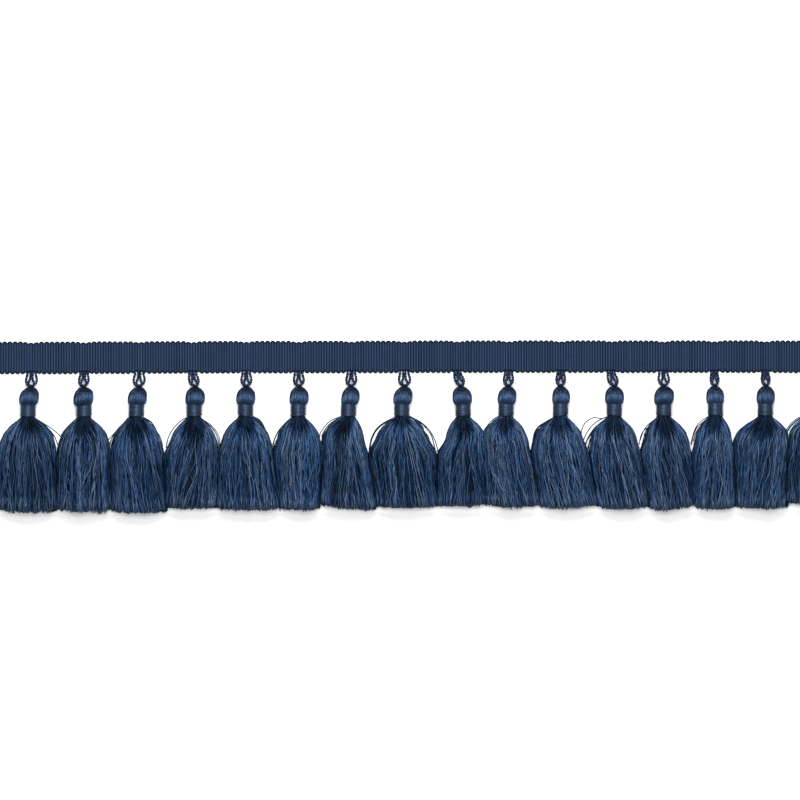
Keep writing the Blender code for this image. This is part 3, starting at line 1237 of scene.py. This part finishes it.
class SkirtForm:
    """How wide, high and long one skirt is at each level, read from its solid."""

    LEVELS = 60
    FIRST_LEVEL = 0.45 * MM
    LAST_LEVEL = 0.1 * MM
    # The threads come out from under the binding at two more levels, with these half widths.
    NECK = np.array([1.2, 0.1]) * MM
    TUCKED = np.array([2.9, 3.3]) * MM
    FALL = 5.0 * MM
    SIDE_MM = 3.7
    SIDE_FALL_MM = 0.7
    UNDERSIDE = 4.9 * MM
    SHOULDER_MM = 12.5
    SHOULDER_REACH_MM = 6.5
    # The skirts meet their neighbours further down, and spring out a little under the binding.
    MEETING = 0.16 * MM
    FULLER = 0.35 * MM
    FULLER_MM = 2.6
    FULLER_REACH_MM = 2.2
    DIP = 1.5 * MM
    DIP_DEGREES = 26
    DIP_MM = 4.5
    DIP_REACH_MM = 4.0
    HEM_PLACES = 21
    HEM_REACH = 0.97
    HEM_BOW = 0.9 * MM
    HEM_RISE = 0.3 * MM
    LEAST = 0.3 * MM

    def __init__(self, place: Place) -> None:
        """Reads the outline.

        Args:
            place: The tassel's place.
        """
        self.solid = place.solid
        self.waist = place.waist
        self.foot = place.waist_foot
        self.parting = 90 - place.habit.parting
        self.parting_length = place.habit.parting_length
        self.sweeps = place.habit.sweeps
        levels = np.linspace(self.foot - self.FIRST_LEVEL, place.hem + self.LAST_LEVEL, self.LEVELS)
        self.levels = np.concatenate([self.foot + self.NECK, levels])
        cuts = [self.solid.cut(1, y) for y in levels]
        left = self._past_corner(levels, np.array([cut[:, 0].min() for cut in cuts]), 1)
        right = self._past_corner(levels, np.array([cut[:, 0].max() for cut in cuts]), -1)
        crown = np.array([cut[:, 2].max() for cut in cuts])
        self.left = self._eased(np.concatenate([self.waist.x - self.TUCKED, left]))
        self.right = self._eased(np.concatenate([self.waist.x + self.TUCKED, right]))
        self.crown = self._eased(np.concatenate([self.waist.z + self.TUCKED, crown]))
        below = self.foot - self.levels
        shoulder = bell(below / MM - self.SHOULDER_MM, self.SHOULDER_REACH_MM) * MM
        self.left += place.habit.shoulders[0] * shoulder
        self.right -= place.habit.shoulders[1] * shoulder
        fallen = np.clip(below / self.FALL, 0, 1)
        past = np.clip(below / (self.foot - place.hem), 0, 1)
        rest = (self.SIDE_MM - self.SIDE_FALL_MM * past) * MM
        neck = self.TUCKED[-1]
        self.side = self.waist.z + (rest - self.waist.z) * fallen
        self.down = np.where(fallen < 1, neck + (self.UNDERSIDE - neck) * fallen, self.UNDERSIDE)
        self.hem_across = np.linspace(-self.HEM_REACH, self.HEM_REACH, self.HEM_PLACES)
        places = self.left[-1] + (self.hem_across + 1) / 2 * (self.right[-1] - self.left[-1])
        self.hem_at = self._hem(places)

    @staticmethod
    def _eased(numbers: Array) -> Array:
        """The numbers with their corners rounded off.

        Args:
            numbers: One for each level.

        Returns:
            As many numbers.
        """
        weights = np.array([1, 2, 3, 2, 1]) / 9
        padded = np.concatenate([numbers[:1].repeat(2), numbers, numbers[-1:].repeat(2)])
        eased = np.convolve(padded, weights, mode="valid")
        eased[:3] = numbers[:3]
        eased[-2:] = numbers[-2:]
        return eased

    def _past_corner(self, levels: Array, edge: Array, inward: int) -> Array:
        """An edge carried straight on past the skirt's corner, where the hem would cut it off.

        Args:
            levels: The levels along Y, from the top.
            edge: The edge's place along X at each level.
            inward: 1 for the left edge, -1 for the right.

        Returns:
            The edge at each level.
        """
        near = edge[-12] + inward * 0.5 * MM
        corner = self.solid.cut(0, near)[:, 1].min()
        kept = levels > corner + 0.6 * MM
        fitted = kept & (levels < corner + 12 * MM)
        slope, start = np.polyfit(levels[fitted], edge[fitted], 1)
        return np.where(kept, edge, slope * levels + start)

    def _hem(self, places: Array) -> Array:
        """Where the solid's hem lies along Y.

        Args:
            places: Places along X.

        Returns:
            One number for each place.
        """
        cuts = [self.solid.cut(0, x) for x in places]
        found = np.array([cut[:, 1].min() if len(cut) else np.nan for cut in cuts])
        known = ~np.isnan(found)
        return np.interp(places, places[known], found[known])

    def read(self, numbers: Array, y: Array) -> Array:
        """What an outline's numbers are at places along Y."""
        return np.interp(-y, -self.levels, numbers)

    def half(self, y: Array) -> Array:
        """Half the skirt's width at places along Y."""
        return self.read((self.right - self.left) / 2, y)

    def hem(self, across: Array) -> Array:
        """Where the hem lies along Y, from -1 at the left edge to 1 at the right."""
        raised = self.HEM_BOW * (1 - np.abs(across) ** 2) + self.HEM_RISE
        return np.interp(across, self.hem_across, self.hem_at) + raised

    def dip(self, angle: Array, y: Array) -> Array:
        """How much deeper the threads lie in the parting under the binding.

        Args:
            angle: How far round, in radians.
            y: Where along Y.

        Returns:
            Metres, for each place.
        """
        beside = bell(np.degrees(angle) - self.parting, self.DIP_DEGREES)
        return self.DIP * beside * bell((self.foot - y) / MM - self.DIP_MM, self.DIP_REACH_MM)

    def swept(self, across: Array) -> Array:
        """How far the sweeps carry each thread sideways by the hem.

        Args:
            across: From -1 at the left edge to 1 at the right.

        Returns:
            Metres, for each thread.
        """
        drift = np.zeros_like(across)
        for sweep in self.sweeps:
            middle, reach = (sweep.start + sweep.end) / 2, (sweep.end - sweep.start) / 2
            inside = np.clip(1.5 - np.abs(across - middle) / reach, 0, 1)
            drift += sweep.drift * MM * inside * (3 - 2 * inside) * inside
        return drift

    def at(self, angle: Array, y: Array, depth: Numbers) -> Array:
        """Points on or under the skirt's outline.

        Args:
            angle: How far round it, in radians.
            y: Where along Y.
            depth: How far under the outline.

        Returns:
            The points, with their coordinates last.
        """
        left, right, side = self.read(self.left, y), self.read(self.right, y), self.read(self.side, y)
        meeting = self.MEETING * np.clip((self.foot - y) / (6 * MM) - 1.5, 0, 1)
        fuller = self.FULLER * bell((self.foot - y) / MM - self.FULLER_MM, self.FULLER_REACH_MM)
        half = np.maximum((right - left) / 2 + meeting + fuller - depth, self.LEAST)
        rise = np.sin(angle)
        up = np.maximum(self.read(self.crown, y) - side - depth, self.LEAST)
        sunk = np.maximum(self.read(self.down, y) - depth, self.LEAST)
        z = side + np.where(rise > 0, up, sunk) * rise
        return np.stack([(left + right) / 2 + half * np.cos(angle), y, z], axis=-1)


class Locks:
    """The locks that a skirt's threads fall into, with what the threads of each share."""

    FIRST_DEGREE = -25
    SPAN_DEGREES = 230
    SWING = 0.9 * MM
    WAVE = 0.45 * MM
    LIFT = 0.25 * MM
    CUT = 0.36 * MM
    TONE = 0.12
    HEM_STEPS = 40
    HEM_STEP = 0.42 * MM

    def __init__(self, number: int, draw: Draw) -> None:
        """Draws the locks.

        Args:
            number: How many there are.
            draw: The random numbers.
        """
        widths = draw.uniform(0.5, 1.5, number)
        count = number + 1
        self.edges = self.FIRST_DEGREE + np.cumsum(widths) / widths.sum() * self.SPAN_DEGREES
        self.swing = draw.normal(0, self.SWING, count)
        self.size = draw.normal(0, self.WAVE, count)
        self.rate = draw.uniform(0.5, 1.3, count)
        self.phase = draw.uniform(0, 2 * math.pi, count)
        self.lift = draw.normal(0, self.LIFT, count)
        self.cut = draw.normal(0, self.CUT, count)
        self.tone = np.exp(draw.normal(0, self.TONE, count))
        self.tint = draw.uniform(0.1, 0.9, count)
        self.steps = draw.normal(0, self.HEM_STEP, self.HEM_STEPS)

    def of(self, angle: Array) -> Array:
        """Which lock each thread is in, from how far round the skirt it is in degrees."""
        return np.searchsorted(self.edges, angle).clip(0, len(self.swing) - 1)

    def wave(self, lock: Array, share: Array) -> Array:
        """How far each lock's own wave carries its threads sideways.

        Args:
            lock: Each thread's lock.
            share: How far down each stop is, from 0 to 1.

        Returns:
            Metres, as thread, stop.
        """
        size, rate, phase = (numbers[lock][:, None] for numbers in (self.size, self.rate, self.phase))
        return size * np.sin(2 * math.pi * rate * share + phase)

    def ragged(self, angle: Array) -> Array:
        """How much shorter the threads are cut, in small steps along the hem, by their angles in degrees."""
        return np.interp(angle, np.linspace(-20, 345, len(self.steps)), self.steps)


@dataclass(frozen=True)
class Layer:
    """The threads of a skirt at one depth.

    They lie between two angles round it in degrees, where 0 is its right and 90 its top. Their tones differ
    by a spread, and they are cut so much shorter.
    """

    threads: int
    stops: int
    depth: float
    start: float
    end: float
    tone: float
    spread: float
    radius: float
    cut: float


@dataclass(frozen=True)
class Shadow:
    """Shade on the threads that lie low between two skirts; lengths in millimetres.

    It reaches up to a share of the skirt's rise. It starts so far below the binding, comes in over a reach
    and takes a share of the light. Further down it fades by a share, from a start over a reach.
    """

    rise: float
    power: float
    start: float
    reach: float
    taken: float
    fade: float = 0.0
    fade_start: float = 0.0
    fade_reach: float = 1.0

    def over(self, rise: Array, below: Array) -> Array:
        """How much light is left.

        Args:
            rise: How high each point lies, as a share of the skirt's rise there.
            below: How far below the binding it is, in millimetres.

        Returns:
            From 0 to 1, for each point.
        """
        lying = np.clip(1 - rise / self.rise, 0, 1) ** self.power * ramp(below, self.start, self.reach)
        lying = lying * (1 - self.fade * ramp(below, self.fade_start, self.fade_reach))
        return 1 - self.taken * lying


@dataclass
class Skirt(Part):
    """The loose yarn below the waist: threads in locks, in layers over a core painted dark as shade, cut off
    blunt.
    """

    SOLID = "hank"
    LOOK = "skirt"
    SEED = 900

    # The deeper layers and the underside are painted darker, as the shade down in the yarn.
    layers: tuple[Layer, ...] = (
        Layer(112, 26, 0.10 * MM, -22.0, 202.0, 1.09, 0.40, 0.31 * MM, 0.05 * MM),
        Layer(108, 18, 0.75 * MM, -22.0, 202.0, 0.58, 0.36, 0.30 * MM, -0.1 * MM),
        Layer(88, 13, 1.40 * MM, -10.0, 190.0, 0.22, 0.20, 0.26 * MM, -0.2 * MM),
        Layer(56, 12, 0.25 * MM, 198.0, 342.0, 0.30, 0.20, 0.27 * MM, -0.2 * MM),
    )
    # How many waves a thread makes on its way down, and how large each is in millimetres.
    waves: tuple[tuple[float, float], ...] = ((1.0, 1.1), (2.2, 0.36), (4.6, 0.14), (8.5, 0.05))
    lock_count: int = 12
    swing: float = 2.2 * MM
    far_share: float = 0.22
    far_swing: float = 4.2 * MM
    ripple: float = 0.26 * MM
    uneven_depth: float = 0.12 * MM
    uneven_cut: float = 0.4 * MM
    uneven_top_mm: float = 0.4
    core_depth: float = 1.9 * MM
    # The core is painted dark, as the shade deep in the skirt.
    painted_core_shade: float = 0.10
    sides: int = 3
    # Every thread's tone has a speckle and a flicker, and some threads have painted glints of light along
    # them.
    speckle: float = 0.12
    flicker: float = 0.16
    bright_share: float = 0.27
    bright_rise: float = 0.15 * MM
    dull: float = 0.88
    glint: float = 0.56
    brightest_thread: float = 1.75
    # Painted shade at the sides of the skirt and painted light along its crown.
    painted_side_shade: float = 0.84
    painted_crown_light: float = 0.29
    # Tones above 1 are brought nearer to it, and all of them stay between two limits.
    softened: float = 0.78
    tone_limits: tuple[float, float] = (0.05, 2.3)
    # Painted light across the belly and by the hem.
    belly_mm: float = 17
    belly_reach_mm: float = 9
    painted_belly_light: float = 0.11
    painted_hem_light: float = 0.25
    # A thread's tint is its own and its lock's, and is warmer where the thread is lighter, which gives the
    # painted highlights their colour.
    tint: float = 0.25
    tint_of_lock: float = 0.35
    tint_spread: float = 0.22
    tint_of_light: float = 0.42
    # The parting takes this much light, from thread to thread, and ends so far round the skirt.
    parting_taken: tuple[float, float] = (0.78, 0.97)
    parting_degrees: float = 52
    shadows: tuple[Shadow, ...] = (
        Shadow(0.92, 0.9, 12, 14, 0.82, 0.7, 36, 7),
        Shadow(0.4, 1.0, 9, 6, 0.9, 0.4, 42, 5),
        Shadow(0.5, 1.0, 0, 4, 0.5),
    )
    tufts: int = 420
    tuft_length: float = 7 * MM
    tuft_depth: float = 0.8 * MM
    tuft_radius: float = 0.24 * MM
    # The tufts are painted darker where they lie under the threads and lighter at their cut ends, as shade
    # and light.
    tuft_tones: tuple[float, float] = (0.5, 1.3)
    tuft_cut: tuple[float, float] = (-0.1 * MM, 0.35 * MM)
    tuft_splay: float = 0.5 * MM
    tuft_lift: float = 0.2 * MM
    stray_stops: int = 22
    stray_sides: int = 4
    stray_root_mm: float = 3.1
    stray_heights_mm: tuple[float, float, float] = (7.4, 6.6, 4.6)
    stray_radius: float = 0.28 * MM
    strand_radius: float = 0.25 * MM
    strand_gap: float = 0.33 * MM
    strand_spread: float = 0.25 * MM

    def __post_init__(self) -> None:
        """Reads the outline and draws the locks."""
        super().__post_init__()
        self.form = SkirtForm(self.place)
        self.locks = Locks(self.lock_count, self.draw)

    def _meander(self, share: Array, count: int) -> Array:
        """How far each thread wanders sideways on its way down.

        Args:
            share: How far down each stop is, from 0 to 1.
            count: How many threads there are.

        Returns:
            Metres, as thread, stop.
        """
        draw = self.draw
        wander = np.zeros((count, len(share)))
        for cycles, size in self.waves:
            rate = cycles * draw.uniform(0.7, 1.35, (count, 1))
            phase = draw.uniform(0, 2 * math.pi, (count, 1))
            wander += draw.normal(0, size * MM, (count, 1)) * np.sin(2 * math.pi * rate * share + phase)
        return wander * np.clip(share * 5, 0, 1)

    def _routes(self, layer: Layer, base: Array, share: Array) -> tuple[Array, Array]:
        """Which way the threads of a layer go.

        Args:
            layer: The layer.
            base: Where each thread starts round the skirt, in degrees.
            share: How far down each stop is, from 0 to 1.

        Returns:
            How far round the skirt, in radians, and where along Y, each as thread, stop.
        """
        form, locks, draw = self.form, self.locks, self.draw
        n, lock, start = layer.threads, locks.of(base), np.radians(base)
        drift = locks.swing[lock] + draw.normal(0, self.swing, n) + form.swept(np.cos(start))
        drift += np.where(draw.uniform(0, 1, n) < self.far_share, draw.normal(0, self.far_swing, n), 0)
        wander = self._meander(share, n) + drift[:, None] * share**1.3
        wander += locks.wave(lock, share)
        cut = locks.cut[lock] + locks.ragged(base) + draw.normal(0, self.uneven_cut, n) + layer.cut
        landed = start - drift / form.half(form.hem(np.cos(start)))
        hem = form.hem(np.cos(landed)) + cut
        top = form.levels[0] - draw.uniform(0, self.uneven_top_mm, n) * MM
        y = top[:, None] + (hem - top)[:, None] * share
        return start[:, None] - wander / form.half(y), y

    def _shade(self, angle: Array, y: Array) -> Array:
        """How much of its light each point keeps: little in the parting, and little down in the valleys.

        Args:
            angle: How far round each point is, in radians.
            y: Where each point is along Y.

        Returns:
            From 0 to 1, for each point.
        """
        form, draw = self.form, self.draw
        count = angle.shape[0]
        below = (form.foot - y) / MM
        ragged = draw.uniform(0.7, 1.3, (count, 1))
        aside = np.clip(np.abs(np.degrees(angle) - form.parting) / self.parting_degrees, 0, 1)
        reach = 1.1 * form.parting_length * (1 - aside**2.2) * ragged + 2.0
        parted = np.clip((1.35 - below / reach) / 0.55, 0, 1) * draw.uniform(*self.parting_taken, (count, 1))
        kept = 1 - parted
        for shadow in self.shadows:
            kept = kept * shadow.over(np.sin(angle), below)
        return kept

    def _threads(self, layer: Layer) -> None:
        """Adds one layer.

        Args:
            layer: The layer.
        """
        form, locks, draw = self.form, self.locks, self.draw
        n, k = layer.threads, layer.stops
        spacing = (np.arange(n) + 0.5 + draw.uniform(-0.45, 0.45, n)) / n
        base = layer.start + spacing * (layer.end - layer.start)
        share = np.linspace(0, 1, k) ** 1.2
        lock = locks.of(base)
        angle, y = self._routes(layer, base, share)
        ripple = draw.normal(0, self.ripple, (n, 1)) * ripples(draw, n, (1.2, 4.5), share)
        bright = draw.uniform(0, 1, n) < self.bright_share
        lift = locks.lift[lock] + draw.normal(0, self.uneven_depth, n) - np.where(bright, self.bright_rise, 0)
        springing = (lift[:, None] + ripple) * np.clip(share * 5, 0, 1)
        depth = layer.depth * np.clip(share * 4, 0.12, 1) + springing
        lines = form.at(angle, y, depth + form.dip(angle, y))
        thick = layer.radius * draw.uniform(0.8, 1.15, (n, 1)) * np.clip(0.7 + share * 2, 0, 1)
        lines[..., 2] = np.maximum(lines[..., 2], thick)
        mood = np.minimum(np.exp(draw.normal(0, layer.spread, n)), self.brightest_thread)
        glint = np.sin(math.pi * draw.uniform(2.5, 7.5, (n, 1)) * share + draw.uniform(0, 3.1, (n, 1))) ** 2
        speckle = draw.normal(0, self.speckle, (n, k))
        flicker = 1 + speckle + self.flicker * ripples(draw, n, (1.5, 5.0), share)
        tone = layer.tone * (locks.tone[lock] * mood)[:, None] * flicker
        # Painted glints along the bright threads.
        tone = tone * np.where(bright[:, None], self.dull + self.glint * glint, self.dull)
        # Painted shade in the parting and the valleys, and painted light along the crown.
        tone = tone * self._shade(angle, y) * (self.painted_side_shade + self.painted_crown_light * np.sin(angle))
        belly = bell((form.foot - y) / MM - self.belly_mm, self.belly_reach_mm)
        # Painted light: the threads are lighter across the belly and by the hem, and lightest at their cut
        # ends.
        tone = tone * (1.0 + self.painted_belly_light * belly + self.painted_hem_light * share**8 + share**26)
        tint = self.tint + self.tint_of_lock * (locks.tint[lock] - 0.5) + draw.normal(0, self.tint_spread, n)
        tint = np.clip(tint[:, None] + self.tint_of_light * (tone - 0.7), 0, 1)
        tone = np.where(tone > 1, 1 + self.softened * (tone - 1), tone)
        self.bundle.tubes(lines, thick, self.sides, np.clip(tone, *self.tone_limits), tint)

    def _core(self) -> None:
        """Adds the body of yarn under the threads, painted dark as the shade deep in the skirt."""
        form = self.form
        angle = np.linspace(0, 2 * math.pi, 28, endpoint=False)[None]
        share = (np.linspace(0, 1, 16) ** 1.25)[:, None]
        hem = form.hem(np.cos(angle)) + 2.5 * MM
        y = form.levels[0] + (hem - form.levels[0]) * share
        angle = angle + 0 * share
        rings = form.at(angle, y, self.core_depth * np.clip(share * 4, 0.3, 1) + form.dip(angle, y))
        rings[..., 2] = np.maximum(rings[..., 2], form.LEAST)
        self.bundle.loft(rings, self.painted_core_shade, 0.4)

    def _tufts(self) -> None:
        """Adds the cut ends that fill the hem."""
        n, form, draw = self.tufts, self.form, self.draw
        angle = draw.uniform(0, 2 * math.pi, n)
        inside = np.sqrt(draw.uniform(0.02, 1, n))
        across = np.cos(angle) * inside
        ragged = self.locks.ragged(np.degrees(np.arccos(across)))
        hem = form.hem(across) + ragged + draw.normal(*self.tuft_cut, n)
        y = np.stack([hem + self.tuft_length, hem], axis=1)
        edge = form.at(angle[:, None] + np.zeros((1, 2)), y, self.tuft_depth)
        middle = form.at(np.full((n, 2), math.pi / 2), y, 0.0)
        middle[..., 2] = form.read(form.side, y)
        lines = middle + (edge - middle) * inside[:, None, None]
        lines[:, 1, 0] += draw.normal(0, self.tuft_splay, n)
        lines[:, 1, 2] += draw.normal(0, self.tuft_lift, n)
        lines[..., 2] = np.maximum(lines[..., 2], self.tuft_radius)
        tone = np.exp(draw.normal(0.05, 0.35, (n, 1))) * np.array(self.tuft_tones)
        self.bundle.tubes(lines, self.tuft_radius, self.sides, tone, draw.uniform(0, 1, n))

    def _strays(self) -> None:
        """Adds the loose threads that bow out past the shoulders."""
        form, draw = self.form, self.draw
        for stray in self.place.habit.strays:
            n = stray.threads
            alone = n == 1
            stops = np.array(stray.stops) * MM
            if alone:
                side = np.sign(stops[0, 0])
                stops = np.concatenate([[[side * self.stray_root_mm * MM, 0.2 * stops[0, 1]]], stops])
            rest = np.interp(np.arange(len(stops)), [0, 1, len(stops) - 1], self.stray_heights_mm) * MM
            held = np.stack([form.waist.x + stops[:, 0], form.foot - stops[:, 1], rest], axis=1)
            route = smooth_route(held, self.stray_stops)
            inward = np.array([-np.sign(stops[-1, 0]), -0.5, 0.0])
            beside = (np.arange(n) * self.strand_gap)[:, None, None] * inward
            fan = np.linspace(0.7, 1, self.stray_stops)[None, :, None]
            loose = 0 if alone else draw.normal(0, self.strand_spread, (n, 1, 3)) * fan
            tone = draw.uniform(0.3, 0.6, n) if alone else draw.uniform(0.5, 1.2, n)
            radius = self.stray_radius if alone else self.strand_radius
            line = route[None] + beside * fan + loose
            self.bundle.tubes(line, radius, self.stray_sides, tone, draw.uniform(0, 1, n))

    def fill(self) -> None:
        """Adds the core, the layers, the cut ends and the loose threads."""
        self._core()
        for layer in self.layers:
            self._threads(layer)
        self._tufts()
        self._strays()


# ------------------------------------------------------------------------------------------------ studio


@dataclass(frozen=True)
class Lamp:
    """A soft square light: where it hangs, its side and its power in watts."""

    name: str
    place: tuple[float, float, float]
    size: float
    power: float


@dataclass
class Studio:
    """A plain white table, soft light from above and a camera that looks straight down."""

    aim_x: float = -12.5 * MM
    aim_y: float = -22.2 * MM
    field: float = 416 * MM
    distance: float = 8.0
    roll: float = -0.0015
    sensor: float = 36.0
    table_reach: float = 6.0
    # The table is plain past the hems, and a little brighter under the fringe and behind it: painted light
    # that lifts the shade the fringe casts there.
    bright_from: float = -81.8 * MM
    bright_at: float = -79.6 * MM
    brighter: float = 0.22
    lamps: tuple[Lamp, ...] = (
        Lamp("overhead", (0.0, 0.3, 2.6), 1.3, 95.0),
        Lamp("rear", (0.0, 2.0, 2.0), 1.15, 98.0),
    )
    room_light: float = 0.35

    def table(self) -> None:
        """Makes the table that the fringe lies on."""
        mesh = bpy.data.meshes.new("table")
        reach = self.table_reach
        corners = [(-reach, -reach, 0), (reach, -reach, 0), (reach, reach, 0), (-reach, reach, 0)]
        mesh.from_pydata(corners, [], [(0, 1, 2, 3)])
        shader = Shader("white_table")
        grain = shader.noise((3.0, 3.0, 3.0), 2.0)
        along = shader.node("ShaderNodeSeparateXYZ", {}, {"Vector": shader.places()}).outputs["Y"]
        inputs = {"Value": along, "From Min": self.bright_from, "From Max": self.bright_at}
        behind = Value(shader, shader.node("ShaderNodeMapRange", {}, inputs).outputs[0])
        near = shader.mixed(grain, (0.55, 0.55, 0.553), (0.57, 0.57, 0.57))
        white = shader.scaled(near, 1.0 + behind * self.brighter)
        matt = {"Base Color": white, "Roughness": 0.9, "Specular IOR Level": 0.1}
        mesh.materials.append(shader.dress(matt))
        floor = bpy.data.objects.new("table", mesh)
        bpy.context.scene.collection.objects.link(floor)

    def hang(self, lamp: Lamp) -> None:
        """Hangs a light so that it faces the fringe.

        Args:
            lamp: The light.
        """
        data = bpy.data.lights.new(lamp.name, "AREA")
        data.shape = "SQUARE"
        data.size = lamp.size
        data.energy = lamp.power
        hung = bpy.data.objects.new(lamp.name, data)
        hung.location = lamp.place
        aim = Vector((self.aim_x, self.aim_y, 0)) - Vector(lamp.place)
        hung.rotation_euler = aim.to_track_quat("-Z", "Y").to_euler()
        hung.visible_camera = False
        bpy.context.scene.collection.objects.link(hung)

    def camera(self) -> None:
        """Sets the camera above the middle of the view."""
        data = bpy.data.cameras.new("above")
        data.sensor_width = self.sensor
        data.lens = self.sensor * self.distance / self.field
        data.clip_end = 20.0
        camera = bpy.data.objects.new("above", data)
        camera.location = (self.aim_x, self.aim_y, self.distance)
        camera.rotation_euler = (0, 0, self.roll)
        bpy.context.scene.collection.objects.link(camera)
        bpy.context.scene.camera = camera

    def build(self) -> None:
        """Makes all of it."""
        self.camera()
        self.table()
        for lamp in self.lamps:
            self.hang(lamp)
        world = bpy.data.worlds.new("pale_room")
        world.use_nodes = True
        background = world.node_tree.nodes["Background"]
        background.inputs["Color"].default_value = (1.0, 1.0, 1.0, 1.0)
        background.inputs["Strength"].default_value = self.room_light
        bpy.context.scene.world = world
        bpy.context.scene.view_settings.view_transform = "Standard"


def main() -> None:
    """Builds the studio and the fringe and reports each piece."""
    logging.basicConfig(level=logging.INFO, format="%(message)s")
    Studio().build()
    places = [Place(number) for number in range(1, TASSELS + 1)]
    shown = [place.ball_x + (place.habit.loop_lean + place.habit.apex) * MM for place in places]
    pieces = [HeadingTape().build(np.array(shown))]
    finishes = {kind: kind.FINISH.material() for kind in (CordLoop, Ball, Binding, Skirt)}
    for place in places:
        pieces += [kind(place).build(material) for kind, material in finishes.items()]
    for made in pieces:
        log.info("%s: %d faces", made.name, len(made.data.polygons))


if __name__ == "__main__":
    main()
